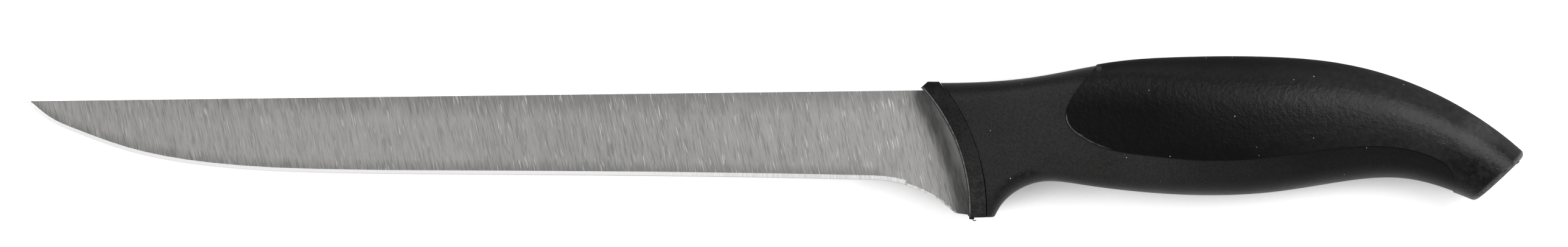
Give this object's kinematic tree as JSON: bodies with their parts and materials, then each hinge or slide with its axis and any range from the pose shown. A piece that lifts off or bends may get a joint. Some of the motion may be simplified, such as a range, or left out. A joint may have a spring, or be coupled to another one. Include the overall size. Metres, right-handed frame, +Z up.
{
  "type": "fillet knife",
  "caption": "Slim fillet knife with a ground steel blade, a black two-material moulded handle, a soft front collar and a curved butt",
  "frame": {"origin": "middle of the underside of the box, with the knife lying on its side and its blade level", "axes": "+X from the tip to the butt along the spine, +Y towards the spine, +Z up through the thickness"},
  "size_m": [0.3194, 0.0338, 0.0216],
  "materials": {
    "blade_steel": "cross-ground and satin",
    "hard_plastic": "fine matte",
    "collar_soft": "smooth matte",
    "grip_soft": "fine leather grain"
  },
  "bodies": {
    "root": {"blade": "blade_steel", "handle_core": "hard_plastic", "front_collar": "collar_soft", "grip": "grip_soft"}
  },
  "joints": []
}
